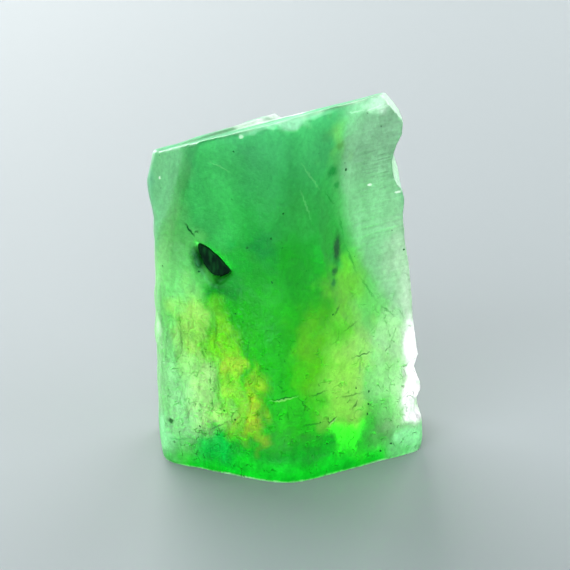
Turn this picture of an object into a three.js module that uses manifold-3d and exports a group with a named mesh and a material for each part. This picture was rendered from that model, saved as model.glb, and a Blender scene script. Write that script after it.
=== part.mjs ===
// Raw emerald: a stubby six-sided prism of green beryl, broken off flat at the foot, where it rests,
// and cleaved obliquely across the top. A grain of black mica sits in a small open pit in one face.
// Millimetres, +Z up. The crystal stands upright, with the corner between its two widest faces
// towards -Y. Bearings are degrees round the upright axis, anticlockwise from +X seen from above.

import * as THREE from "three";
import { ImprovedNoise } from "three/addons/math/ImprovedNoise.js";
import { mergeVertices } from "three/addons/utils/BufferGeometryUtils.js";
import Module from "manifold-3d";

// ---- Driving dimensions -------------------------------------------------------------------------

// The prism's section at the foot. Beryl grows six-sided, with 120 degrees at every corner, so one
// corner, one side's bearing and four side lengths fix all of it.
const FRONT_CORNER = new THREE.Vector2(0.1, -3.78);
const FRONT_RIGHT_BEARING = 34;
const FRONT_RIGHT_LENGTH = 4.95;
const RIGHT_LENGTH = 3.3;
const BACK_RIGHT_LENGTH = 3.95;
const BACK_LEFT_LENGTH = 5.24;

// How far from each corner its rounding starts, anticlockwise from the front corner.
const CORNER_ROUNDING = [0.9, 0.35, 0.6, 0.9, 0.5, 0.5];

// The prism before it broke leans a little and narrows upwards: how far it moves, and what share of
// its width it loses, over its raw height.
const RAW_HEIGHT = 12.8;
const LEAN = new THREE.Vector2(-0.55, 0.1);
const TAPER = 0.09;

// The worn foot: the last stretch of wall above the base curls in.
const FOOT_HEIGHT = 0.3;
const FOOT_INSET = 0.06;

// Fineness of the raw prism's mesh: points round the section, and steps up the height.
const SECTION_POINTS = 78;
const HEIGHT_STEPS = 46;

// Unevenness of the grown faces: waves this long, this deep.
const FACE_WAVES = [
  { length: 2.6, depth: 0.07 },
  { length: 0.9, depth: 0.035 },
];

// Smooth knobs and bites, each a bell on the wall: its bearing and height, how far it reaches round the
// wall in degrees and up and down it, and how far out it moves the wall, with bites below zero.
const EDGE_LUMPS = [
  // The right edge, from the top down.
  { bearing: 0, height: 10.4, round: 40, up: 0.6, out: 0.06 },
  { bearing: 0, height: 8.8, round: 40, up: 1.4, out: -0.14 },
  { bearing: 0, height: 6.6, round: 40, up: 1.0, out: -0.1 },
  { bearing: 350, height: 3.1, round: 30, up: 0.3, out: 0.04 },
  { bearing: 350, height: 2.05, round: 30, up: 0.4, out: 0.06 },
  // The left edge, from the top down.
  { bearing: 180, height: 8.3, round: 45, up: 1.3, out: 0.14 },
  { bearing: 180, height: 6.9, round: 30, up: 0.35, out: 0.08 },
  { bearing: 190, height: 3.6, round: 30, up: 0.4, out: 0.08 },
  // The back corners.
  { bearing: 87, height: 5.6, round: 22, up: 1.3, out: -0.2 },
  { bearing: 87, height: 2.4, round: 20, up: 0.8, out: 0.12 },
  { bearing: 150, height: 3.4, round: 16, up: 0.7, out: -0.16 },
];

// Upright furrows, etched along the prism: bearing, middle height, half-length and depth. All have one
// half-width, in degrees.
const FURROW_WIDTH = 5;
const FURROWS = [
  { bearing: 224, height: 2.9, up: 2.4, depth: 0.07 },
  { bearing: 234, height: 3.6, up: 2.6, depth: 0.09 },
  { bearing: 245, height: 2.6, up: 1.9, depth: 0.08 },
  { bearing: 256, height: 3.8, up: 2.6, depth: 0.07 },
  { bearing: 62, height: 4.4, up: 4.5, depth: 0.09 },
  { bearing: 45, height: 6.8, up: 3.6, depth: 0.07 },
  { bearing: 108, height: 5.4, up: 4.8, depth: 0.1 },
  { bearing: 126, height: 4.0, up: 3.4, depth: 0.08 },
  { bearing: 175, height: 3.6, up: 3.2, depth: 0.06 },
];

// Flat breaks, each a plane through a point, facing a bearing and tilted up from level by some degrees.
// One that ends at a ledge takes only the stretch that lies towards the ledge's bearing from its point.
const FLAT_BREAKS = {
  topCleavage: { point: [0, 0, 10.45], bearing: 138, tilt: 67.6 },
  lowerStepOfTheTop: { point: [-1.7, 1.15, 9.49], bearing: 134, tilt: 68.9, ledge: 315 },
  upperLeftFacet: { point: [-2.52, -2.69, 8.6], bearing: 219, tilt: 7 },
  topLeftCorner: { point: [-4.0, 0, 8.85], bearing: 180, tilt: 13 },
  topRightCorner: { point: [2.93, 0, 11.05], bearing: 2, tilt: 36 },
  topBackCorner: { point: [0.7, 2.3, 9.65], bearing: 70, tilt: 40 },
  lowerBackFacet: { point: [-1.9, 2.75, 2.0], bearing: 118, tilt: -12 },
};

// Shell-shaped breaks, each the dent of a smooth lump pressed into a side of the prism. Sides count
// anticlockwise from the front right one. A break's middle lies some share of the way along its side,
// at a height, and it has a half-width and a half-height, where it meets the side, and a depth.
const SHELL_BREAKS = {
  upperRightHollow: { side: 0, along: 1.05, height: 8.6, wide: 3.3, tall: 4.6, depth: 0.5 },
  rightEdgeBite: { side: 1, along: 0.3, height: 9.0, wide: 2.3, tall: 0.9, depth: 0.34 },
  rightEdgeLedge: { side: 1, along: 0.9, height: 7.4, wide: 2.9, tall: 0.85, depth: 0.2 },
  rightMiddleShell: { side: 1, along: 1.0, height: 4.6, wide: 2.0, tall: 1.7, depth: 0.26 },
  rightLowerBite: { side: 1, along: 0.1, height: 2.62, wide: 1.9, tall: 0.36, depth: 0.12 },
  rightLowBite: { side: 1, along: 0.0, height: 1.5, wide: 1.6, tall: 0.36, depth: 0.17 },
  rightFootChip: { side: 1, along: 1.0, height: 0.1, wide: 1.1, tall: 0.7, depth: 0.24 },
  firstTopChip: { side: 5, along: 0.72, height: 10.9, wide: 0.5, tall: 0.24, depth: 0.12 },
  secondTopChip: { side: 5, along: 0.92, height: 11.02, wide: 0.5, tall: 0.36, depth: 0.14 },
  thirdTopChip: { side: 0, along: 0.13, height: 11.18, wide: 0.55, tall: 0.34, depth: 0.12 },
  fourthTopChip: { side: 0, along: 0.27, height: 11.3, wide: 0.4, tall: 0.25, depth: 0.1 },
  leftEdgeNotch: { side: 4, along: 0.9, height: 4.2, wide: 1.6, tall: 0.3, depth: 0.12 },
  leftUpperShell: { side: 4, along: 0.1, height: 6.0, wide: 1.6, tall: 1.3, depth: 0.22 },
  leftFootChip: { side: 5, along: 0.3, height: 0.02, wide: 0.5, tall: 0.2, depth: 0.08 },
  backLeftHollow: { side: 3, along: 0.75, height: 8.3, wide: 2.6, tall: 3.2, depth: 0.55 },
  backLeftShell: { side: 3, along: 0.1, height: 4.9, wide: 1.9, tall: 1.4, depth: 0.34 },
  backRightShell: { side: 2, along: 0.9, height: 2.6, wide: 1.9, tall: 2.1, depth: 0.36 },
  backFootChip: { side: 2, along: 0.45, height: 0.0, wide: 0.9, tall: 0.6, depth: 0.24 },
};

// A pressed lump's depth as a share of its half-size across the side.
const SHELL_DEPTH_SHARE = 0.3;

// The mica grain: a small plate, with an outline across and up its face, set a little way back from
// the wall.
const GRAIN_OUTLINE = [
  [-0.56, 0.55],
  [-0.56, 0.34],
  [-0.36, -0.12],
  [-0.1, -0.48],
  [0.12, -0.54],
  [0.34, -0.37],
  [0.54, -0.17],
  [0.14, 0.18],
  [-0.2, 0.42],
];
const GRAIN_SIDE = 5;
const GRAIN_ALONG = 0.475;
const GRAIN_HEIGHT = 6.58;
const GRAIN_SETBACK = 0.08;
const GRAIN_THICKNESS = 0.5;

// The pit fits round the grain with a hair of clearance, and its chipped mouth is wider.
const PIT_CLEARANCE = 0.03;
const PIT_MOUTH_MARGIN = 0.11;
const PIT_CUT_REACH = 1;

// ---- Solids -------------------------------------------------------------------------------------

const wasm = await Module();
wasm.setup();

const MERGE_DISTANCE = 1e-4;

// A closed three.js geometry as a manifold-3d solid.
function solidOf(geometry) {
  const bare = geometry.clone();
  bare.deleteAttribute("normal");
  bare.deleteAttribute("uv");
  const merged = mergeVertices(bare, MERGE_DISTANCE);
  return new wasm.Manifold(
    new wasm.Mesh({
      numProp: 3,
      vertProperties: merged.attributes.position.array,
      triVerts: new Uint32Array(merged.index.array),
    }),
  );
}

// A manifold-3d solid as a three.js geometry with flat faces.
function geometryOf(solid) {
  const mesh = solid.getMesh();
  const indexed = new THREE.BufferGeometry();
  indexed.setAttribute("position", new THREE.BufferAttribute(mesh.vertProperties, 3));
  indexed.setIndex(new THREE.BufferAttribute(mesh.triVerts, 1));
  const geometry = indexed.toNonIndexed();
  geometry.computeVertexNormals();
  return geometry;
}

// The direction that faces a bearing, tilted up from level.
function facing(bearing, tilt = 0) {
  const level = new THREE.Vector3(1, 0, 0);
  level.applyAxisAngle(new THREE.Vector3(0, -1, 0), THREE.MathUtils.degToRad(tilt));
  return level.applyAxisAngle(new THREE.Vector3(0, 0, 1), THREE.MathUtils.degToRad(bearing));
}

// ---- The raw prism ------------------------------------------------------------------------------

// The six corners of the section, walked from the front corner with a 60 degree turn at each.
function sectionCorners() {
  const leftLength = FRONT_RIGHT_LENGTH + RIGHT_LENGTH - BACK_LEFT_LENGTH;
  const lengths = [FRONT_RIGHT_LENGTH, RIGHT_LENGTH, BACK_RIGHT_LENGTH, BACK_LEFT_LENGTH, leftLength];
  const corners = [FRONT_CORNER.clone()];
  lengths.forEach((length, side) => {
    const along = facing(FRONT_RIGHT_BEARING + 60 * side);
    corners.push(corners.at(-1).clone().addScaledVector(along, length));
  });
  return corners;
}

// The section with its corners rounded, as evenly spaced points.
function sectionShape() {
  const corners = sectionCorners();
  const path = new THREE.Path();
  corners.forEach((corner, i) => {
    const before = corners.at(i - 1);
    const after = corners[(i + 1) % corners.length];
    const start = corner.clone().lerp(before, CORNER_ROUNDING[i] / corner.distanceTo(before));
    const end = corner.clone().lerp(after, CORNER_ROUNDING[i] / corner.distanceTo(after));
    if (i === 0) {
      path.moveTo(start.x, start.y);
    } else {
      path.lineTo(start.x, start.y);
    }
    path.quadraticCurveTo(corner.x, corner.y, end.x, end.y);
  });
  path.closePath();
  return new THREE.Shape(path.getSpacedPoints(SECTION_POINTS).slice(0, -1));
}

const noise = new ImprovedNoise();

// 1 where a lump is centred, falling smoothly to 0 where its reach ends.
function lumpShare(point, { bearing, height, round, up }) {
  const pointBearing = THREE.MathUtils.radToDeg(Math.atan2(point.y, point.x));
  const turn = THREE.MathUtils.euclideanModulo(pointBearing - bearing + 180, 360) - 180;
  const distance = Math.min(1, Math.hypot(turn / round, (point.z - height) / up));
  return (1 + Math.cos(Math.PI * distance)) / 2;
}

// How far the wall stands out from the plain prism at a point.
function wallPush(point) {
  let push = 0;
  for (const lump of EDGE_LUMPS) {
    push += lump.out * lumpShare(point, lump);
  }
  for (const furrow of FURROWS) {
    push -= furrow.depth * lumpShare(point, { ...furrow, round: FURROW_WIDTH });
  }
  FACE_WAVES.forEach(({ length, depth }, i) => {
    push += depth * noise.noise(point.x / length, point.y / length, point.z / length + 10 * i);
  });
  const footShare = Math.max(0, 1 - point.z / FOOT_HEIGHT);
  return push - FOOT_INSET * footShare ** 2;
}

// The prism before it broke: extruded, then made uneven, narrowed and leaned.
function rawPrism() {
  const geometry = new THREE.ExtrudeGeometry(sectionShape(), {
    depth: RAW_HEIGHT,
    steps: HEIGHT_STEPS,
    bevelEnabled: false,
  });
  const position = geometry.attributes.position;
  const point = new THREE.Vector3();
  for (let i = 0; i < position.count; i++) {
    point.fromBufferAttribute(position, i);
    const rise = point.z / RAW_HEIGHT;
    const scale = (1 - TAPER * rise) * (1 + wallPush(point) / Math.hypot(point.x, point.y));
    position.setXY(i, point.x * scale + LEAN.x * rise, point.y * scale + LEAN.y * rise);
  }
  return solidOf(geometry);
}

// ---- The breaks ---------------------------------------------------------------------------------

// A spot on a side of the plain leaning prism, and the bearing that the side faces.
function spotOnSide({ side, along, height }) {
  const corners = sectionCorners();
  const next = corners[(side + 1) % corners.length];
  const rise = height / RAW_HEIGHT;
  const foot = corners[side].clone().lerp(next, along);
  const level = foot.multiplyScalar(1 - TAPER * rise).addScaledVector(LEAN, rise);
  const spot = new THREE.Vector3(level.x, level.y, height);
  return { spot, bearing: FRONT_RIGHT_BEARING + 60 * side - 90 };
}

// A block far larger than the crystal, on the outer side of a flat break.
function flatBreak({ point, bearing, tilt, ledge }) {
  const size = 3 * RAW_HEIGHT;
  const block = new THREE.BoxGeometry(size, size, size);
  block.translate(0, 0, size / 2);
  if (ledge !== undefined) {
    block.translate(size / 2, 0, 0);
    block.rotateZ(THREE.MathUtils.degToRad(ledge));
  }
  const up = new THREE.Vector3(0, 0, 1);
  block.applyQuaternion(new THREE.Quaternion().setFromUnitVectors(up, facing(bearing, tilt)));
  block.translate(...point);
  return solidOf(block);
}

// The smooth lump whose dent a shell-shaped break leaves. It is an ellipsoid that stands out of the
// side, so that only its last stretch cuts in. A wider one has more triangles.
function shellBreak(shell) {
  const { spot, bearing } = spotOnSide(shell);
  const across = shell.depth / SHELL_DEPTH_SHARE;
  const rim = Math.sqrt(1 - (1 - SHELL_DEPTH_SHARE) ** 2);
  const fineness = Math.ceil(2 * (shell.wide + 1));
  const lump = new THREE.IcosahedronGeometry(1, fineness);
  lump.scale(across, shell.wide / rim, shell.tall / rim);
  lump.translate(across - shell.depth, 0, 0);
  lump.rotateZ(THREE.MathUtils.degToRad(bearing));
  lump.translate(...spot);
  return solidOf(lump);
}

// ---- The mica grain and its pit -----------------------------------------------------------------

// The grain's plate, wider than its outline by a margin, reaching from some way behind the grain's face
// to some way in front of it.
function grainPlate(margin, behind, inFront) {
  const { spot, bearing } = spotOnSide({ side: GRAIN_SIDE, along: GRAIN_ALONG, height: GRAIN_HEIGHT });
  const shape = new THREE.Shape(
    GRAIN_OUTLINE.map(([across, up]) => {
      const corner = new THREE.Vector2(across, up);
      return corner.setLength(corner.length() + margin);
    }),
  );
  const plate = new THREE.ExtrudeGeometry(shape, { depth: behind + inFront, bevelEnabled: false });
  plate.translate(0, 0, -behind - GRAIN_SETBACK);
  plate.rotateX(THREE.MathUtils.degToRad(90));
  plate.rotateZ(THREE.MathUtils.degToRad(bearing - 270));
  plate.translate(...spot);
  return plate;
}

// ---- Assembly -----------------------------------------------------------------------------------

let crystal = rawPrism();
for (const flat of Object.values(FLAT_BREAKS)) {
  crystal = crystal.subtract(flatBreak(flat));
}
for (const shell of Object.values(SHELL_BREAKS)) {
  crystal = crystal.subtract(shellBreak(shell));
}
const pit = grainPlate(PIT_CLEARANCE, GRAIN_THICKNESS + PIT_CLEARANCE, PIT_CUT_REACH);
const pitMouth = grainPlate(PIT_MOUTH_MARGIN, 0, PIT_CUT_REACH);
crystal = crystal.subtract(solidOf(pit)).subtract(solidOf(pitMouth));

const emerald = new THREE.Mesh(
  geometryOf(crystal),
  new THREE.MeshStandardMaterial({
    color: "#35c44c",
    roughness: 0.25,
    metalness: 0,
    transparent: true,
    opacity: 0.75,
  }),
);
emerald.name = "emerald_crystal";

const mica = new THREE.Mesh(
  grainPlate(0, GRAIN_THICKNESS, 0),
  new THREE.MeshStandardMaterial({ color: "#10140c", roughness: 0.35, metalness: 0 }),
);
mica.name = "mica_grain";

const stone = new THREE.Group();
stone.add(emerald, mica);

export default stone;
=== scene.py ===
"""Raw emerald: a stubby six-sided prism of green beryl with a grain of black mica in one face.

It stands on its flat broken foot, on a plain pale floor in soft studio light.
"""

import math

import bmesh
import bpy
import numpy as np
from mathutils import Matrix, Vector, noise


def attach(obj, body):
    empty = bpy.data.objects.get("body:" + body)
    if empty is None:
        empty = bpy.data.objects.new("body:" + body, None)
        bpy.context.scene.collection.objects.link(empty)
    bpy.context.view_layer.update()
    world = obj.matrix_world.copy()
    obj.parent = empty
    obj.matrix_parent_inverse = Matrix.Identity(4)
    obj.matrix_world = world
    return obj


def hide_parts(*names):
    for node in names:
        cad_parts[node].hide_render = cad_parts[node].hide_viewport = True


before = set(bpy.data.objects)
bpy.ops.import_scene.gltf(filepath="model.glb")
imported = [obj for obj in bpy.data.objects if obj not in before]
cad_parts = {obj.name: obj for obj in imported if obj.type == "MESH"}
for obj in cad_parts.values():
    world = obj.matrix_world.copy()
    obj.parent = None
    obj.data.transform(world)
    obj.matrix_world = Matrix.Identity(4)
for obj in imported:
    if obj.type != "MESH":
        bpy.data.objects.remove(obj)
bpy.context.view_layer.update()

# ---- The emerald crystal ------------------------------------------------------------------------
# The real piece is one crystal of green beryl, hard, glassy and brittle. It grew as a six-sided prism
# and was etched on its sides, then broke off its rock: its top and foot are cleavage breaks, its
# edges are chipped, and inside it carries pale veils, colour bands and dark specks.

MM = 0.001
SKIN_STEP = 0.062  # mm between neighbouring points of the crystal's skin
FOOT_SEAT = 0.05  # mm above the floor that still counts as the flat foot


def joined_copy(node, name):
    """A new piece with the CAD node's shape, its loose triangles joined, in millimetres."""
    piece = bpy.data.objects.new(name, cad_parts[node].data.copy())
    bpy.context.scene.collection.objects.link(piece)
    shape = bmesh.new()
    shape.from_mesh(piece.data)
    bmesh.ops.scale(shape, vec=(1 / MM, 1 / MM, 1 / MM), verts=shape.verts)
    bmesh.ops.remove_doubles(shape, verts=shape.verts, dist=1e-4)
    bmesh.ops.recalc_face_normals(shape, faces=shape.faces)
    shape.to_mesh(piece.data)
    shape.free()
    return piece


def even_skin(piece, step):
    """Gives the piece a skin of even small squares, so that fine relief can be worked into it."""
    remesh = piece.modifiers.new("even_skin", "REMESH")
    remesh.mode = "VOXEL"
    remesh.voxel_size = step
    shown = piece.evaluated_get(bpy.context.evaluated_depsgraph_get())
    skinned = bpy.data.meshes.new_from_object(shown)
    piece.modifiers.remove(remesh)
    piece.data = skinned


def nearness(place, centre, reach):
    """1 at the centre of an egg-shaped region, falling smoothly to 0 where its reach ends."""
    away = Vector([(place[i] - centre[i]) / reach[i] for i in range(3)]).length
    return (1 + math.cos(math.pi * min(away, 1))) / 2


# Regions of the skin, each a centre and a reach in millimetres.
ETCHED_LEFT = ((-2.3, -2.4, 3.0), (2.8, 2.4, 3.8))
CRUMBLED_LEFT = ((-3.2, -1.9, 6.6), (1.5, 1.5, 1.6))
BANDED_RIGHT = ((3.2, -0.8, 8.0), (1.6, 2.5, 4.0))
RIPPLED_FOOT = ((1.2, -3.0, 0.9), (2.4, 2.0, 1.4))

NOISE_SEED = 7
noise.seed_set(NOISE_SEED)

WAVER = 0.25  # mm, the farthest that a ridge or band strays sideways
WAVER_WIDTH = 1.1  # mm


def wavering(place):
    """The place moved a little, so that what is straight in it comes out wavy."""
    return place + WAVER * noise.noise_vector(place / WAVER_WIDTH)


def waves(place, height, width):
    """Rolling ups and downs of a height and a width in millimetres."""
    return height * noise.noise(place / width)


def upright_waves(place, width, length):
    """Waves from about -1 to 1 that are narrow sideways and long upwards."""
    return noise.noise(Vector((place.x / width, place.y / width, place.z / length)))


def etched_ridges(place):
    """Wavy upright ridges of the etched side, from about -1 in a groove to 1 on a crest."""
    bent = wavering(place)
    wide = upright_waves(bent, width=0.3, length=1.7)
    narrow = upright_waves(bent, width=0.14, length=0.9)
    return (wide + 0.6 * narrow) * nearness(place, *ETCHED_LEFT)


RIDGE_HEIGHT = 0.03  # mm
BAND_HEIGHT = 0.008  # mm
BAND_LENGTH = 1.6  # mm
BAND_WIDTH = 0.16  # mm
RIPPLE_HEIGHT = 0.016  # mm
RIPPLES_PER_BAND = 0.8


def natural_relief(place):
    """How far the grown, etched and broken skin stands out at a place, in millimetres."""
    swell = waves(place, height=0.03, width=0.9)
    pitting = waves(place, height=0.008, width=0.28)
    ridges = RIDGE_HEIGHT * etched_ridges(place)
    crumbs = waves(place, height=0.03, width=0.16) * nearness(place, *CRUMBLED_LEFT)
    bent = wavering(place)
    level = Vector((place.x / BAND_LENGTH, place.y / BAND_LENGTH, bent.z / BAND_WIDTH))
    bands = BAND_HEIGHT * noise.noise(level) * nearness(place, *BANDED_RIGHT)
    ripple = noise.noise(level * RIPPLES_PER_BAND)
    ripples = RIPPLE_HEIGHT * ripple * nearness(place, *RIPPLED_FOOT)
    return swell + pitting + ridges + crumbs + bands + ripples


def soften(shape, rounds):
    """Evens out a skin by moving each point towards its neighbours."""
    for _ in range(rounds):
        bmesh.ops.smooth_vert(
            shape, verts=shape.verts, factor=0.5, use_axis_x=True, use_axis_y=True, use_axis_z=True
        )


crystal = joined_copy("emerald_crystal", "crystal")
even_skin(crystal, SKIN_STEP)
skin = bmesh.new()
skin.from_mesh(crystal.data)
soften(skin, rounds=2)
skin.normal_update()
for point in skin.verts:
    if point.co.z > FOOT_SEAT:
        point.co += point.normal * natural_relief(point.co)
    else:
        point.co.z = 0

# Each point of the skin keeps three values for the material: how far it stands out of the skin round
# it, in millimetres, which finds the sharp and chipped edges; how squarely it faces out of the cleaved
# top; and how far below the top's plane it is, in millimetres.
TOP_FACING = Vector((-0.283, 0.255, 0.9245))
TOP_HEIGHT = 9.62  # mm along TOP_FACING from the middle of the foot, just under the top's plane
TOP_FOCUS = 8  # how quickly the value for the top fades as the skin turns away from it
EDGE_ROUNDS = 14
keen = [point.co.copy() for point in skin.verts]
soften(skin, rounds=EDGE_ROUNDS)
skin.normal_update()
edge_mark = skin.verts.layers.float.new("edge")
top_mark = skin.verts.layers.float.new("top")
below_top_mark = skin.verts.layers.float.new("below_top")
for point, place in zip(skin.verts, keen):
    point[edge_mark] = (place - point.co).dot(point.normal)
    point[top_mark] = max(0, point.normal.dot(TOP_FACING)) ** TOP_FOCUS
    point[below_top_mark] = TOP_HEIGHT - place.dot(TOP_FACING)
    point.co = place


def linear(shade):
    """An sRGB hex colour as linear red, green, blue and alpha."""
    parts = [int(shade[i : i + 2], 16) / 255 for i in (1, 3, 5)]
    return (*[c / 12.92 if c <= 0.04045 else ((c + 0.055) / 1.055) ** 2.4 for c in parts], 1)


# The green in the middle of the front, by height above the foot in millimetres: the beryl's green with
# painted light, brightest low down where light from behind glows through, darkest a little above the
# middle.
GREENS = {
    0.0: "#04cc18",
    0.9: "#04d418",
    1.5: "#34d014",
    4.0: "#3cb808",
    5.8: "#22ac0c",
    6.8: "#208a2c",
    8.3: "#349c54",
    10.2: "#50ac7c",
}

CLEAR_MILK = 0.2  # share of the light that the clear beryl scatters

# Zones of other colour: a centre and a reach in millimetres, how sharply the zone ends, a shade, how
# far that shade covers the green, and how milky the beryl is there. Most are painted light and shade:
# the glow, bright, pale and white zones stand in for light from behind coming through the thin edges
# and the lower half, and the thick middle and the very bottom are painted darker. A few, such as the
# olive of the brown spots and the veil in the back, are the beryl's own colour.
ZONES = {
    "pale left side": ((-5.2, 0.0, 5.0), (3.0, 6.0, 12.0), 2.0, "#a4e49c", 0.95, 0.3),
    "bright left side": ((-3.1, -2.2, 5.6), (1.2, 3.0, 2.8), 1.3, "#9cec9c", 0.9, 0.25),
    "upper left facet": ((-8.6, 0.0, 11.4), (6.0, 30.0, 8.5), 14, "#78bc90", 0.9, 0.35),
    "blue-green left edge": ((-4.4, 0.0, 8.2), (1.0, 6.0, 3.0), 1.4, "#60a888", 0.8, 0.3),
    "bright upper left": ((-2.0, -2.5, 8.8), (1.3, 2.5, 2.6), 1.3, "#50c474", 0.8, 0.2),
    "pale lower left": ((-3.2, -2.0, 2.0), (1.5, 3.0, 2.9), 1.5, "#b0ecb0", 0.95, 0.3),
    # Painted light: the left glow lobes and the yellow glow streaks stand in for light from behind
    # glowing through the lower left.
    "left glow, upper lobe": ((-2.7, -2.3, 4.3), (0.95, 2.4, 2.0), 1.3, "#dcfc7c", 0.9, 0.2),
    "left glow, inner lobe": ((-1.8, -2.8, 4.2), (0.75, 2.4, 1.7), 1.3, "#b0f028", 0.9, 0.2),
    "left glow, white lobe": ((-2.4, -2.4, 2.6), (0.8, 2.0, 1.8), 1.3, "#d0f0a4", 0.9, 0.3),
    "left glow, foot lobe": ((-1.45, -2.9, 2.2), (0.7, 2.0, 1.4), 1.3, "#ccf050", 0.9, 0.2),
    "left glow, outer lobe": ((-3.0, -2.2, 3.4), (0.5, 2.0, 1.2), 1.3, "#b4ec98", 0.8, 0.3),
    "left glow, low white": ((-2.0, -2.7, 1.9), (0.5, 2.0, 0.7), 1.3, "#ccf894", 0.8, 0.3),
    "yellow glow streak, upper": ((-1.6, -2.9, 3.6), (0.45, 2.0, 0.9), 1.2, "#ece04c", 0.9, 0.2),
    "yellow glow streak, lower": ((-0.85, -3.1, 2.3), (0.45, 2.0, 1.6), 1.2, "#f4e430", 0.9, 0.2),
    "green between the lobes": ((-2.2, -2.6, 4.7), (0.3, 2.0, 0.9), 1.2, "#54c828", 0.6, 0.2),
    "green fall under the cloud": ((-1.25, -2.9, 4.9), (0.4, 2.0, 1.1), 1.2, "#28a80c", 0.7, 0.2),
    # Painted light: the right glow zones stand in for light from behind glowing through the lower
    # right.
    "right glow, top": ((1.9, -2.3, 5.6), (1.0, 2.4, 1.9), 1.3, "#a4d840", 0.85, 0.2),
    "right glow, inner": ((0.9, -2.9, 3.8), (0.8, 2.4, 2.2), 1.3, "#84bc08", 0.9, 0.15),
    "right glow, outer": ((1.9, -2.3, 2.8), (1.1, 2.4, 2.5), 1.3, "#dcf078", 0.95, 0.2),
    "right glow, pale seam": ((2.3, -2.1, 3.6), (0.6, 2.4, 1.8), 1.2, "#ece888", 0.8, 0.2),
    "pale lower right": ((4.0, -1.0, 3.4), (2.6, 4.0, 4.8), 1.5, "#ccf4c0", 0.95, 0.35),
    "pale right face": ((9.0, 0.0, 9.4), (7.8, 30.0, 8.0), 12, "#98c0a4", 0.9, 0.4),
    "white of the right face": ((4.4, 0.0, 5.8), (2.0, 5.0, 2.6), 1.4, "#ccdccc", 0.9, 0.45),
    "green of the right face": ((2.9, -1.3, 7.0), (0.9, 2.4, 1.2), 1.2, "#9ccca8", 0.7, 0.4),
    # Painted light: the white of the right edge and its lobes stand in for light from behind shining
    # through the thin edge.
    "white backlit right edge": ((4.4, -1.0, 2.9), (1.2, 4.0, 2.8), 1.6, "#f0e8ec", 1.0, 0.8),
    "green notch in the backlit edge": ((4.2, -0.6, 2.5), (0.5, 1.4, 0.3), 1.2, "#a0e8a8", 0.6, 0.3),
    "white lobe of the backlit edge": ((4.0, -1.0, 3.4), (0.8, 1.4, 1.2), 2.0, "#f4f0f4", 1.0, 0.6),
    "low white lobe of the backlit edge": ((4.1, -1.1, 1.6), (0.7, 1.2, 0.6), 2.0, "#f4eef4", 1.0, 0.6),
    "teal of the right bite": ((4.1, 0.0, 8.4), (0.8, 3.0, 1.6), 1.5, "#70a8a0", 0.8, 0.2),
    "deep middle": ((-0.4, -3.2, 4.2), (0.6, 2.4, 3.0), 2, "#28ac04", 0.85, 0.1),
    "deep middle, top": ((0.0, -3.2, 6.6), (1.2, 2.4, 1.4), 1.4, "#188814", 0.85, 0.1),
    "blue-green patch": ((-0.5, -3.2, 7.4), (0.9, 2.0, 0.9), 1.3, "#046838", 0.9, 0.1),
    "green shoulder over it": ((0.3, -3.0, 8.2), (1.4, 2.0, 1.2), 1.2, "#3c9c50", 0.6, 0.1),
    "cloud under the mica": ((-1.75, -2.8, 6.0), (0.9, 1.0, 0.55), 1.3, "#046414", 0.9, 0.1),
    "shade right of the mica": ((-1.4, -2.9, 6.6), (0.6, 1.0, 0.8), 1.2, "#108c28", 0.8, 0.1),
    "smudge over the mica": ((-1.6, -2.8, 7.4), (0.5, 0.6, 0.5), 1.2, "#109448", 0.7, 0.2),
    "green left of the mica": ((-2.9, -2.3, 6.6), (0.6, 1.0, 0.9), 1.2, "#74d878", 0.6, 0.2),
    "shade of the thread": ((1.5, -2.2, 6.5), (0.4, 1.0, 1.0), 1.2, "#10904c", 0.8, 0.2),
    "olive of the brown spots": ((1.5, -2.2, 10.2), (0.5, 0.8, 0.9), 1.2, "#8cc46c", 0.7, 0.3),
    "foot": ((0.0, 0.0, -1.2), (9.0, 9.0, 2.8), 2.2, "#06dc1c", 0.95, 0.6),
    "pale left corner": ((-3.9, -1.6, 0.7), (1.0, 2.0, 1.0), 1.4, "#88dc98", 0.9, 0.6),
    "blue-green of the foot": ((-2.1, -2.8, 0.8), (1.1, 2.0, 0.9), 1.4, "#00a038", 0.9, 0.6),
    "bright green of the foot": ((1.9, -2.4, 1.0), (0.9, 2.0, 0.8), 1.3, "#30fc28", 0.9, 0.6),
    "frosted chip of the top edge": ((0.15, -2.9, 11.0), (0.7, 1.0, 0.35), 2.0, "#a0dcb8", 0.8, 0.5),
    # Painted highlight: the pale of the right corner stands in for light catching its top edge.
    "painted highlight on the right corner": ((2.7, -1.1, 11.05), (1.1, 1.2, 0.4), 1.4, "#dcf2e4", 0.7, 0.5),
    "veil in the back": ((0.9, 3.0, 6.4), (1.3, 1.8, 3.0), 1.2, "#9ce0ac", 0.8, 0.4),
    "deep green of the back": ((-1.2, 3.0, 4.4), (1.2, 1.8, 2.6), 1.3, "#189c20", 0.7, 0.1),
    "frosty corner of the back": ((-3.4, 1.6, 2.6), (1.1, 1.6, 2.4), 1.3, "#c8ecc8", 0.8, 0.5),
    "glow of the back": ((1.6, 2.6, 2.6), (1.1, 1.8, 1.8), 1.2, "#b8ec64", 0.8, 0.2),
    # Painted shade: the very bottom is painted darker.
    "dark base": ((0.0, 0.0, -1.2), (9.0, 9.0, 2.0), 2.0, "#04841c", 0.85, 0.3),
    "teal right corner": ((4.0, -1.0, 0.5), (1.2, 3.0, 1.0), 1.4, "#88dc98", 0.9, 0.6),
}
STIR = 0.6  # mm, by which a zone of sharpness 1 strays from its egg shape


def zone_spread(places, centre, reach, sharpness):
    """1 at the heart of an egg-shaped zone, falling smoothly to 0 at its reach, for many places."""
    inward = np.clip((1 - np.linalg.norm((places - centre) / reach, axis=1)) * sharpness, 0, 1)
    return inward * inward * (3 - 2 * inward)


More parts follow.
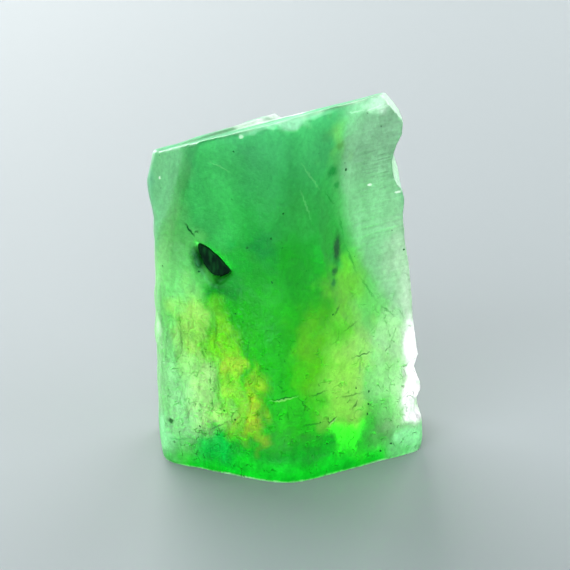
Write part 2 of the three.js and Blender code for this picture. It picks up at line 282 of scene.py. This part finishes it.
def lay_over(colours, share, shade):
    """Lays a shade over many colours, as far as the share of each says."""
    colours += share[:, None] * (np.array(linear(shade)[:3]) - colours)


def colours_and_painted_light(places, stir):
    """The colour and milkiness at each place: zones, mostly painted light and shade, laid over the
    green.
    """
    shades = np.array([linear(shade)[:3] for shade in GREENS.values()])
    heights = places[:, 2] + STIR / 2 * stir[:, 2]
    colours = np.stack([np.interp(heights, list(GREENS), shades[:, i]) for i in range(3)], axis=1)
    milk = np.full(len(places), CLEAR_MILK)
    for centre, reach, sharpness, shade, cover, milkiness in ZONES.values():
        share = zone_spread(places + STIR / sharpness * stir, centre, reach, sharpness)
        lay_over(colours, cover * share, shade)
        milk = np.maximum(milk, milkiness * share)
    return colours, milk


places = np.array([point.co for point in skin.verts])
stir = np.array([noise.turbulence_vector(1.2 * Vector(spot), 3, False) for spot in places])
colours, milk = colours_and_painted_light(places, stir)
# Painted light and shade: the etched side is painted brighter on its ridge tops, darker in its
# grooves.
RIDGE_LIGHT_CONTRAST = 0.5
crest_light = np.array([etched_ridges(Vector(spot)) for spot in places])
colours = np.clip(colours * (1 + RIDGE_LIGHT_CONTRAST * crest_light)[:, None], 0, 1)
# The cleaved top is painted pale in uneven steps and its low far step near white: painted light and a
# painted highlight, where the top catches the light from above.
FAR_STEP = ((-0.4, 2.1, 9.7), (2.8, 1.5, 0.7), 1.4)
HACKLE_WIDTH = 0.7  # mm
HACKLE_CONTRAST = 0.5
TOP_COVER = 0.6
FAR_STEP_COVER = 0.7
PALE_TOP_MILK = 0.6  # share of the light that the painted-pale top and far step scatter
hackle = np.array([noise.turbulence(Vector(spot) / HACKLE_WIDTH, 4, True) for spot in places])
tops = np.array([point[top_mark] for point in skin.verts])
tops *= np.clip(TOP_COVER + HACKLE_CONTRAST * hackle, 0, 1)
far_step = zone_spread(places + STIR * stir, *FAR_STEP)
far_step *= np.clip(FAR_STEP_COVER + HACKLE_CONTRAST * hackle, 0, 1)
for share, shade in ((tops, "#6cc090"), (far_step, "#f0faf4")):
    lay_over(colours, share, shade)
    milk = np.maximum(milk, PALE_TOP_MILK * share)
bmesh.ops.scale(skin, vec=(MM, MM, MM), verts=skin.verts)
for face in skin.faces:
    face.smooth = True
skin.to_mesh(crystal.data)
skin.free()
painted = crystal.data.attributes.new("colour_and_painted_light", "FLOAT_COLOR", "POINT")
painted.data.foreach_set("color", np.column_stack([colours, np.ones(len(colours))]).ravel())
milky = crystal.data.attributes.new("milk", "FLOAT", "POINT")
milky.data.foreach_set("value", milk)


def add_node(tree, kind, settings, links=None, output=0):
    """Adds a node, sets its properties and inputs, links its inputs, and returns one output."""
    node = tree.nodes.new(kind)
    for name, value in settings.items():
        if isinstance(name, str) and hasattr(node, name):
            setattr(node, name, value)
        else:
            node.inputs[name].default_value = value
    for name, source in (links or {}).items():
        tree.links.new(source, node.inputs[name])
    return node.outputs[output] if node.outputs else None


# Natural emerald, grown, etched and broken: glassy inside, but its skin is rough enough that light
# comes through it as a soft glow, and nothing is seen sharply behind it.
emerald = bpy.data.materials.new("natural_emerald")
emerald.use_nodes = True
tree = emerald.node_tree
tree.nodes.clear()
axes = add_node(tree, "ShaderNodeTexCoord", {}, output="Object")
place = add_node(tree, "ShaderNodeMapping", {"Scale": (1 / MM, 1 / MM, 1 / MM)}, {"Vector": axes})

# Clouds, ridges and cracks don't grow straight, so the place that they read is stirred.
CLOUD_STIR = 0.5  # mm, the farthest
cloud = add_node(
    tree,
    "ShaderNodeTexNoise",
    {"Scale": 1.5, "Detail": 3.0, "Roughness": 0.6},
    {"Vector": place},
    "Color",
)
about_zero = add_node(
    tree, "ShaderNodeVectorMath", {"operation": "SUBTRACT", 1: (0.5, 0.5, 0.5)}, {0: cloud}
)
shift = add_node(
    tree, "ShaderNodeVectorMath", {"operation": "SCALE", "Scale": 2 * CLOUD_STIR}, {0: about_zero}
)
stirred = add_node(tree, "ShaderNodeVectorMath", {"operation": "ADD"}, {0: place, 1: shift})


def egg(where, centre, reach, turn=0, most=1.0):
    """Rises to its most in an egg-shaped region, in millimetres, turned about Y, and is 0 outside."""
    local = add_node(
        tree,
        "ShaderNodeMapping",
        {
            "vector_type": "TEXTURE",
            "Location": centre,
            "Rotation": (0, math.radians(turn), 0),
            "Scale": reach,
        },
        {"Vector": where},
    )
    fade = add_node(
        tree, "ShaderNodeTexGradient", {"gradient_type": "SPHERICAL"}, {"Vector": local}, "Fac"
    )
    return add_node(tree, "ShaderNodeMapRange", {"From Max": 0.6, "To Max": most}, {"Value": fade})


# The zoned colour with its painted light and shade, as laid on the skin.
green = add_node(tree, "ShaderNodeAttribute", {"attribute_name": "colour_and_painted_light"}, output="Color")
milkiness = add_node(tree, "ShaderNodeAttribute", {"attribute_name": "milk"}, output="Fac")

# Clouds, up to a fifth duller or an eighth brighter, drawn out along the growth direction.
drawn_out = add_node(tree, "ShaderNodeMapping", {"Scale": (2.0, 2.0, 0.8)}, {"Vector": stirred})
clouds = add_node(
    tree, "ShaderNodeTexNoise", {"Scale": 1.0, "Detail": 5.0, "Roughness": 0.55}, {"Vector": drawn_out}
)
brightness = add_node(
    tree,
    "ShaderNodeMapRange",
    {"From Min": 0.32, "From Max": 0.68, "To Min": 0.8, "To Max": 1.12},
    {"Value": clouds},
)
green = add_node(
    tree,
    "ShaderNodeVectorMath",
    {"operation": "SCALE"},
    {0: green, "Scale": brightness},
)

# The edges of all marks are ragged: the place that they read is frayed by a few hundredths of a mm.
FRAY = 0.14  # mm between the farthest strays
ragged = add_node(
    tree, "ShaderNodeTexNoise", {"Scale": 8.0, "Detail": 3.0}, {"Vector": place}, "Color"
)
frayed = add_node(
    tree,
    "ShaderNodeVectorMath",
    {"operation": "MULTIPLY_ADD", 1: (FRAY, FRAY, FRAY)},
    {0: ragged, 2: place},
)
half_fray = (FRAY / 2, FRAY / 2, FRAY / 2)
frayed = add_node(
    tree, "ShaderNodeVectorMath", {"operation": "SUBTRACT", 1: half_fray}, {0: frayed}
)


def marked(under, centre, reach, turn, shade, cover):
    """A colour with one egg-shaped, ragged mark of a shade laid over it."""
    share = egg(frayed, centre, reach, turn, cover)
    return add_node(
        tree, "ShaderNodeMixRGB", {"Color2": linear(shade)}, {"Fac": share, "Color1": under}
    )


# Specks of mica and pyrite, all of them under a tenth of a millimetre across.
SPECK_CELL = 0.36  # mm, the mean room that one has
SPECK_SIZE = 0.13  # share of that room, of the largest
distance = add_node(
    tree, "ShaderNodeTexVoronoi", {"Scale": 1 / SPECK_CELL}, {"Vector": frayed}, "Distance"
)
own_colour = distance.node.outputs["Color"]
luck = add_node(tree, "ShaderNodeSeparateColor", {}, {"Color": own_colour})
size = add_node(tree, "ShaderNodeMath", {"operation": "POWER", 1: 3.0}, {0: luck})
size = add_node(tree, "ShaderNodeMath", {"operation": "MULTIPLY", 1: SPECK_SIZE}, {0: size})
outside = add_node(tree, "ShaderNodeMath", {"operation": "SUBTRACT"}, {0: distance, 1: size})
specks = add_node(
    tree, "ShaderNodeMapRange", {"From Min": 0.02, "From Max": -0.03}, {"Value": outside}
)
green = add_node(
    tree, "ShaderNodeMixRGB", {"Color2": linear("#002808")}, {"Fac": specks, "Color1": green}
)

# Single marks: a flake and a hair crack near the mica, a dark thread and spots in the right face, a
# speck in the foot, and white painted glints of light on the skin. Each has a centre and a reach in
# millimetres, a turn in degrees, a shade and a cover.
DARK_GREEN = "#002810"
BROWN = "#4c5c10"
MARKS = {
    "flake beside the mica": ((-2.56, -2.35, 6.62), (0.26, 0.5, 0.58), -14, "#02300c", 1.0),
    "dark thread": ((1.53, -2.15, 6.9), (0.15, 0.6, 0.66), 3, "#001c14", 1.0),
    "foot of the thread": ((1.47, -2.3, 6.25), (0.12, 0.6, 0.16), 0, "#002c1c", 0.9),
    "end of the thread": ((1.44, -2.3, 5.92), (0.12, 0.6, 0.14), 0, "#004828", 0.8),
    "spot over the thread": ((1.38, -2.15, 9.3), (0.2, 0.6, 0.24), 20, "#006c38", 0.9),
    "small spot": ((1.52, -2.05, 8.82), (0.12, 0.4, 0.14), 0, "#007038", 0.8),
    "first brown spot": ((1.22, -2.35, 10.44), (0.22, 0.5, 0.28), 0, BROWN, 0.2),
    "second brown spot": ((1.6, -2.05, 10.02), (0.15, 0.5, 0.18), 0, BROWN, 0.5),
    "hair crack": ((-2.79, -2.3, 7.52), (0.05, 0.5, 0.3), -38, DARK_GREEN, 1.0),
    "spur of the hair crack": ((-2.6, -2.35, 7.5), (0.04, 0.5, 0.12), 50, DARK_GREEN, 0.8),
    "speck in the foot": ((-3.43, -2.0, 1.37), (0.13, 0.3, 0.11), 0, DARK_GREEN, 0.9),
    # Painted glints: white spots that stand in for light sparkling on the skin.
    "painted glint, far left": ((-3.69, -1.2, 8.81), (0.06, 0.3, 0.06), 0, "#ffffff", 1.0),
    "painted glint, left": ((-3.36, -1.14, 9.68), (0.08, 0.3, 0.06), 0, "#ffffff", 1.0),
    "painted glint, middle": ((-1.27, -2.97, 10.58), (0.08, 0.3, 0.09), 0, "#ffffff", 1.0),
    "painted glint, right": ((2.49, -1.1, 8.53), (0.1, 0.3, 0.05), 0, "#ffffff", 1.0),
    "painted glint, far right": ((3.37, -0.43, 8.1), (0.14, 0.3, 0.05), 0, "#ffffff", 1.0),
}
for mark in MARKS.values():
    green = marked(green, *mark)

# Single lines on the skin: a middle and a half-length in millimetres, a turn from level in degrees, a
# shade and a cover. Light catches the lower lip of each deep crack. The white lines at the right
# corner are painted highlights.
LINE_DEPTH = 0.5  # mm to each side of the skin
LINE_HALF_WIDTH = 0.035  # mm
DEEP_COVER = 0.8  # a crack that covers more than this is a deep one
LIP_DROP = 1.2 * LINE_HALF_WIDTH
LIP_COVER = 0.5
CRACK = "#003c0c"
RIM = "#0c7c30"
STREAK = "#b8f4c8"
LINES = {
    "seam of the left foot": ((-3.16, -2.2, 0.86), 0.55, 12, "#2cb84c", 0.5),
    "right, level": ((2.3, -2.07, 3.52), 0.4, 4, CRACK, 0.9),
    "right, upright": ((2.24, -2.11, 3.13), 0.24, 88, CRACK, 0.9),
    "right, faint": ((1.9, -2.3, 2.36), 0.6, -2, CRACK, 0.6),
    "right, curled": ((2.1, -2.2, 2.02), 0.2, 60, CRACK, 0.8),
    "middle, level": ((-0.05, -3.42, 2.66), 0.5, 8, CRACK, 0.9),
    "middle, short": ((1.0, -3.04, 2.66), 0.34, 6, CRACK, 0.8),
    "middle, low": ((0.8, -3.1, 1.74), 0.5, -2, CRACK, 0.7),
    "forked": ((1.42, -2.78, 1.7), 0.22, 40, CRACK, 0.9),
    "fork's branch": ((1.3, -2.84, 1.72), 0.16, 110, CRACK, 0.8),
    "left lobe's rim": ((-1.1, -3.1, 3.9), 0.7, 86, CRACK, 0.35),
    "left ridge": ((-2.05, -2.6, 4.3), 0.9, 84, CRACK, 0.4),
    "outer left ridge": ((-3.1, -2.1, 4.2), 0.9, 94, CRACK, 0.4),
    "lobe's lower rim": ((-2.0, -2.75, 1.5), 0.5, 35, CRACK, 0.6),
    "right, short oblique": ((1.55, -2.6, 5.1), 0.22, 60, CRACK, 0.7),
    "right, long oblique": ((2.0, -2.3, 4.5), 0.4, 25, CRACK, 0.6),
    "pale face's rim, top": ((1.66, -1.9, 7.5), 0.5, -80, RIM, 0.6),
    "pale face's rim, upper": ((1.95, -1.8, 6.45), 0.65, -70, RIM, 0.7),
    "pale face's rim, lower": ((2.5, -1.5, 5.35), 0.65, -59, RIM, 0.6),
    "pale face's rim, foot": ((3.1, -1.1, 4.55), 0.45, -45, RIM, 0.5),
    "oblique over the thread": ((1.3, -2.3, 8.5), 0.4, -60, RIM, 0.8),
    "upper left streak": ((-1.9, -2.7, 9.6), 0.42, -22, STREAK, 0.3),
    # Painted highlights: white lines where light catches the right corner.
    "painted highlight line of the right corner": ((2.55, -1.0, 10.9), 0.5, 12, "#f0fff4", 0.6),
    "painted highlight line under it": ((2.0, -1.5, 10.95), 0.35, -8, "#f0fff4", 0.5),
    "upper middle streak": ((0.75, -2.8, 9.3), 0.7, -60, STREAK, 0.3),
    "lower middle streak": ((0.6, -2.9, 8.5), 0.6, -72, STREAK, 0.25),
}
for middle, half, turn, shade, cover in LINES.values():
    reach = (half, LINE_DEPTH, LINE_HALF_WIDTH)
    green = marked(green, middle, reach, -turn, shade, cover)
    if shade == CRACK and cover > DEEP_COVER:
        lip = (middle[0], middle[1], middle[2] - LIP_DROP)
        green = marked(green, lip, reach, -turn, "#f0ffb8", LIP_COVER)

# Relief too fine for the skin's own points, as heights in millimetres.
ETCHING_DEPTH = 0.03
UPRIGHT_DEPTH = 0.2
FINE_BAND_DEPTH = 0.06
etching = add_node(
    tree, "ShaderNodeTexNoise", {"Scale": 7.0, "Detail": 5.0, "Roughness": 0.7}, {"Vector": place}
)
etched = add_node(tree, "ShaderNodeMath", {"operation": "MULTIPLY", 1: ETCHING_DEPTH}, {0: etching})
upright = add_node(tree, "ShaderNodeMapping", {"Scale": (3.4, 3.4, 0.7)}, {"Vector": stirred})
ridging = add_node(
    tree, "ShaderNodeTexNoise", {"Scale": 1.0, "Detail": 4.0}, {"Vector": upright}
)
ridge_share = egg(place, *ETCHED_LEFT)
fine_ridges = add_node(
    tree, "ShaderNodeMath", {"operation": "MULTIPLY"}, {0: ridging, 1: ridge_share}
)
ridged = add_node(
    tree,
    "ShaderNodeMath",
    {"operation": "MULTIPLY_ADD", 1: UPRIGHT_DEPTH},
    {0: fine_ridges, 2: etched},
)
level = add_node(tree, "ShaderNodeMapping", {"Scale": (0.8, 0.8, 12.0)}, {"Vector": place})
banding = add_node(tree, "ShaderNodeTexNoise", {"Scale": 1.0, "Detail": 3.0}, {"Vector": level})
band_share = egg(place, *BANDED_RIGHT)
bands = add_node(tree, "ShaderNodeMath", {"operation": "MULTIPLY"}, {0: banding, 1: band_share})
banded = add_node(
    tree,
    "ShaderNodeMath",
    {"operation": "MULTIPLY_ADD", 1: FINE_BAND_DEPTH},
    {0: bands, 2: ridged},
)

# Short cracks in the lower half: the edges of cells, shown only where a coarse noise lets them.
CRACK_CELL = 0.4  # mm
CRACK_WIDTH = 0.04  # share of a cell
CRACK_DEPTH = 0.06  # mm
CRACK_COVER = 0.45
cell_edge = add_node(
    tree,
    "ShaderNodeTexVoronoi",
    {"feature": "DISTANCE_TO_EDGE", "Scale": 1 / CRACK_CELL},
    {"Vector": stirred},
)
crack_line = add_node(
    tree, "ShaderNodeMapRange", {"From Min": CRACK_WIDTH, "From Max": 0.0}, {"Value": cell_edge}
)
chance = add_node(tree, "ShaderNodeTexNoise", {"Scale": 3.5, "Detail": 2.0}, {"Vector": place})
shown = add_node(
    tree, "ShaderNodeMapRange", {"From Min": 0.53, "From Max": 0.62}, {"Value": chance}
)
above_foot = add_node(tree, "ShaderNodeSeparateXYZ", {}, {0: place}, "Z")
low = add_node(
    tree, "ShaderNodeMapRange", {"From Min": 6.5, "From Max": 4.0}, {"Value": above_foot}
)
crack = add_node(tree, "ShaderNodeMath", {"operation": "MULTIPLY"}, {0: crack_line, 1: shown})
crack = add_node(tree, "ShaderNodeMath", {"operation": "MULTIPLY"}, {0: crack, 1: low})
fine_relief = add_node(
    tree, "ShaderNodeMath", {"operation": "MULTIPLY_ADD", 1: -CRACK_DEPTH}, {0: crack, 2: banded}
)
dark_crack = add_node(
    tree, "ShaderNodeMath", {"operation": "MULTIPLY", 1: CRACK_COVER}, {0: crack}
)
green = add_node(
    tree, "ShaderNodeMixRGB", {"Color2": linear("#044c14")}, {"Fac": dark_crack, "Color1": green}
)

# Painted shade in the wavy upright creases between the ridges, and the painted fine light and shade of
# the skin.
off_crest = add_node(tree, "ShaderNodeMath", {"operation": "SUBTRACT", 1: 0.5}, {0: ridging})
off_crest = add_node(tree, "ShaderNodeMath", {"operation": "ABSOLUTE"}, {0: off_crest})
crease_shade = add_node(
    tree,
    "ShaderNodeMapRange",
    {"From Min": 0.02, "From Max": 0.0, "To Max": 0.35},
    {"Value": off_crest},
)
crease_shade = add_node(tree, "ShaderNodeMath", {"operation": "MULTIPLY"}, {0: crease_shade, 1: ridge_share})
green = add_node(
    tree, "ShaderNodeMixRGB", {"Color2": linear("#0a6414")}, {"Fac": crease_shade, "Color1": green}
)
fine = add_node(
    tree,
    "ShaderNodeMapRange",
    {"From Min": 0.35, "From Max": 0.65, "To Min": 0.84, "To Max": 1.18},
    {"Value": etching},
)
stripes = add_node(
    tree,
    "ShaderNodeMapRange",
    {"From Min": 0.4, "From Max": 0.6, "To Min": -0.08, "To Max": 0.08},
    {"Value": banding},
)
fine = add_node(
    tree, "ShaderNodeMath", {"operation": "MULTIPLY_ADD"}, {0: stripes, 1: band_share, 2: fine}
)
green = add_node(tree, "ShaderNodeVectorMath", {"operation": "SCALE"}, {0: green, "Scale": fine})

# Scales have chipped off just under the cleaved top's edge.
below_top = add_node(tree, "ShaderNodeAttribute", {"attribute_name": "below_top"}, output="Fac")
scales = add_node(
    tree, "ShaderNodeTexVoronoi", {"Scale": 1.6, "Randomness": 1.0}, {"Vector": frayed}
)
CHIP_LENGTH = 0.5  # mm down from the edge, of the longest
chip_length = add_node(
    tree, "ShaderNodeMath", {"operation": "MULTIPLY", 1: CHIP_LENGTH}, {0: scales}
)
chip_reach = add_node(
    tree, "ShaderNodeMath", {"operation": "SUBTRACT"}, {0: below_top, 1: chip_length}
)
chips = add_node(
    tree, "ShaderNodeMapRange", {"From Min": 0.03, "From Max": -0.05}, {"Value": chip_reach}
)
CHIPPED_EDGE = ((0.2, -2.8, 10.6), (2.2, 2.0, 2.0))
chipped = egg(place, *CHIPPED_EDGE, most=0.45)
chips = add_node(tree, "ShaderNodeMath", {"operation": "MULTIPLY"}, {0: chips, 1: chipped})
green = add_node(
    tree, "ShaderNodeMixRGB", {"Color2": linear("#b0ecc8")}, {"Fac": chips, "Color1": green}
)
milkiness = add_node(tree, "ShaderNodeMath", {"operation": "MAXIMUM"}, {0: milkiness, 1: chips})

# Sharp edges get a painted highlight, white and a little milky, but along the upper sides and round
# the mica's pit they get a painted dark rim instead.
edge = add_node(tree, "ShaderNodeAttribute", {"attribute_name": "edge"}, output="Fac")
uneven_edge = add_node(tree, "ShaderNodeMath", {"operation": "MULTIPLY"}, {0: edge, 1: clouds})
edge_highlight = add_node(
    tree,
    "ShaderNodeMapRange",
    {"From Min": 0.01, "From Max": 0.03, "To Max": 0.8},
    {"Value": uneven_edge},
)
# Places where the edges get a painted dark rim.
DARK_RIM_PLACES = [
    ((3.9, 0.0, 8.6), (1.1, 4.0, 2.6)),
    ((-4.1, 0.0, 8.4), (1.0, 4.0, 2.2)),
    ((-2.0, -2.6, 6.6), (1.5, 1.6, 1.4)),
    ((-2.4, -2.4, 10.0), (2.5, 1.6, 1.5)),
]
clear = egg(place, *DARK_RIM_PLACES[0])
for centre, reach in DARK_RIM_PLACES[1:]:
    clear = add_node(
        tree, "ShaderNodeMath", {"operation": "MAXIMUM"}, {0: egg(place, centre, reach), 1: clear}
    )
# Where the painted dark rim takes the place of the painted edge highlight.
clear = add_node(tree, "ShaderNodeMath", {"operation": "MULTIPLY"}, {0: clear, 1: edge_highlight})
edge_highlight = add_node(tree, "ShaderNodeMath", {"operation": "SUBTRACT"}, {0: edge_highlight, 1: clear})
for share, shade in ((edge_highlight, "#d8ffe0"), (clear, "#1c8458")):
    green = add_node(
        tree, "ShaderNodeMixRGB", {"Color2": linear(shade)}, {"Fac": share, "Color1": green}
    )
EDGE_HIGHLIGHT_MILK = 0.5  # share of the light that a full painted edge highlight scatters
# The milk of the painted edge highlight.
frosty = add_node(tree, "ShaderNodeMath", {"operation": "MULTIPLY", 1: EDGE_HIGHLIGHT_MILK}, {0: edge_highlight})
milkiness = add_node(tree, "ShaderNodeMath", {"operation": "MAXIMUM"}, {0: milkiness, 1: frosty})

# The skin: dull where it is cloudy and on the cleaved top, and milky where the painted milk, the chips
# or the painted edge highlight make it so.

relief = add_node(tree, "ShaderNodeBump", {"Strength": 1.0, "Distance": MM}, {"Height": fine_relief})
clearness = add_node(tree, "ShaderNodeMath", {"operation": "SUBTRACT", 0: 1.0}, {1: milkiness})
polish = add_node(
    tree,
    "ShaderNodeMapRange",
    {"From Min": 0.3, "From Max": 0.7, "To Min": 0.34, "To Max": 0.5},
    {"Value": clouds},
)
top = add_node(tree, "ShaderNodeAttribute", {"attribute_name": "top"}, output="Fac")
polish = add_node(tree, "ShaderNodeMath", {"operation": "MAXIMUM"}, {0: polish, 1: top})
BERYL_IOR = 1.577
surface = add_node(
    tree,
    "ShaderNodeBsdfPrincipled",
    {"IOR": BERYL_IOR, "Specular Tint": (0.2, 0.9, 0.4, 1), "Specular IOR Level": 0.0},
    {
        "Base Color": green,
        "Roughness": polish,
        "Transmission Weight": clearness,
        "Normal": relief,
    },
)
# Chromium in beryl passes green and stops red and blue.
BERYL_DENSITY = 400  # per metre, the absorption where the colour lets nothing through
inside = add_node(
    tree,
    "ShaderNodeVolumeAbsorption",
    {"Color": (0.05, 0.95, 0.2, 1), "Density": BERYL_DENSITY},
)
add_node(tree, "ShaderNodeOutputMaterial", {}, {"Surface": surface, "Volume": inside})
crystal.data.materials.clear()
crystal.data.materials.append(emerald)
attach(crystal, "root")
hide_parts("emerald_crystal")

# ---- The mica grain -----------------------------------------------------------------------------
# The real piece is a grain of black mica that the crystal grew round: a few thin sheets, dull and
# pearly, at the bottom of an open pit in the front left face.

grain = joined_copy("mica_grain", "mica")
GRAIN_MIDDLE = 6.58  # mm above the foot
BROKEN_END = 0.25  # mm below the middle, from where the lower end is broken short
BROKEN_SHARE = 0.5  # share of that end that is missing
shape = bmesh.new()
shape.from_mesh(grain.data)
for point in shape.verts:
    beyond = GRAIN_MIDDLE - BROKEN_END - point.co.z
    point.co.z += BROKEN_SHARE * max(0, beyond)
bmesh.ops.bevel(
    shape,
    geom=shape.edges,
    offset=0.03,
    offset_type="OFFSET",
    segments=2,
    profile=0.5,
    affect="EDGES",
    material=-1,
)
bmesh.ops.scale(shape, vec=(MM, MM, MM), verts=shape.verts)
shape.to_mesh(grain.data)
shape.free()

# Black mica: near black with a green light in it from the beryl round it, its broken sheets dull.
mica = bpy.data.materials.new("black_mica")
mica.use_nodes = True
tree = mica.node_tree
tree.nodes.clear()
axes = add_node(tree, "ShaderNodeTexCoord", {}, output="Object")
ACROSS = 9 / MM  # flakes in a metre across the grain
ALONG = 3 / MM  # and along it
place = add_node(
    tree,
    "ShaderNodeMapping",
    {"Rotation": (0, math.radians(-35), 0), "Scale": (ACROSS, ACROSS, ALONG)},
    {"Vector": axes},
)
flakes = add_node(tree, "ShaderNodeTexNoise", {"Scale": 1.0, "Detail": 5.0}, {"Vector": place})
light = add_node(tree, "ShaderNodeMapRange", {"From Min": 0.42, "From Max": 0.68}, {"Value": flakes})
tone = add_node(
    tree,
    "ShaderNodeMixRGB",
    {"Color1": linear("#010c06"), "Color2": linear("#062c10")},
    {"Fac": light},
)
steps = add_node(tree, "ShaderNodeBump", {"Distance": 0.03 * MM}, {"Height": flakes})
surface = add_node(
    tree,
    "ShaderNodeBsdfPrincipled",
    {"Roughness": 0.6, "Specular IOR Level": 0.08, "Specular Tint": (0.3, 1.0, 0.5, 1)},
    {"Base Color": tone, "Normal": steps},
)
add_node(tree, "ShaderNodeOutputMaterial", {}, {"Surface": surface})
grain.data.materials.clear()
grain.data.materials.append(mica)
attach(grain, "root")
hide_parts("mica_grain")

# ---- The floor ----------------------------------------------------------------------------------
# A plain pale studio floor, not part of the object.

FLOOR_SIDE = 4.0
floor_mesh = bpy.data.meshes.new("floor")
sheet = bmesh.new()
bmesh.ops.create_grid(sheet, x_segments=1, y_segments=1, size=FLOOR_SIDE / 2)
sheet.to_mesh(floor_mesh)
sheet.free()
floor = bpy.data.objects.new("floor", floor_mesh)
bpy.context.scene.collection.objects.link(floor)
paint = bpy.data.materials.new("floor_paint")
paint.use_nodes = True
paint.node_tree.nodes["Principled BSDF"].inputs["Base Color"].default_value = linear("#666f71")
paint.node_tree.nodes["Principled BSDF"].inputs["Roughness"].default_value = 0.7
floor.data.materials.append(paint)

# ---- Light and camera ---------------------------------------------------------------------------
# Soft studio light: a pale surround, and four large panels, low in front, at the right and behind.
# Each panel has a side and a distance in metres, a power in watts, and a bearing and a height in
# degrees.

scene = bpy.context.scene
scene.view_settings.view_transform = "Standard"
world = bpy.data.worlds.new("pale_surround")
world.use_nodes = True
world.node_tree.nodes["Background"].inputs["Color"].default_value = linear("#dde6e8")
world.node_tree.nodes["Background"].inputs["Strength"].default_value = 0.6
scene.world = world

MIDDLE = Vector((0, 0, 0.005))
PANELS = {
    "front_left": {"side": 0.4, "power": 4.5, "bearing": 250, "height": 15, "away": 0.35},
    "back_left": {"side": 0.3, "power": 3.9, "bearing": 118, "height": 8, "away": 0.3},
    "back_right": {"side": 0.25, "power": 1.9, "bearing": 55, "height": 8, "away": 0.3},
    "right": {"side": 0.25, "power": 0.9, "bearing": 345, "height": 8, "away": 0.3},
}
for name, panel in PANELS.items():
    lamp = bpy.data.lights.new(name, "AREA")
    lamp.size = panel["side"]
    lamp.energy = panel["power"]
    bearing, rise = math.radians(panel["bearing"]), math.radians(panel["height"])
    towards = Vector(
        (
            math.cos(bearing) * math.cos(rise),
            math.sin(bearing) * math.cos(rise),
            math.sin(rise),
        )
    )
    holder = bpy.data.objects.new(name, lamp)
    holder.location = MIDDLE + panel["away"] * towards
    holder.rotation_euler = towards.to_track_quat("Z", "Y").to_euler()
    holder.visible_camera = False
    scene.collection.objects.link(holder)

CAMERA_AWAY = 0.095  # m
CAMERA_RISE = math.radians(19.5)
SEEN_WIDTH = 0.01727  # m, at the crystal
lens = bpy.data.cameras.new("camera")
lens.sensor_width = 36
lens.lens = lens.sensor_width * CAMERA_AWAY / SEEN_WIDTH
lens.clip_start = 0.005
camera = bpy.data.objects.new("camera", lens)
towards = Vector((0, -math.cos(CAMERA_RISE), math.sin(CAMERA_RISE)))
camera.location = MIDDLE + CAMERA_AWAY * towards
camera.rotation_euler = towards.to_track_quat("Z", "Y").to_euler()
scene.collection.objects.link(camera)
scene.camera = camera
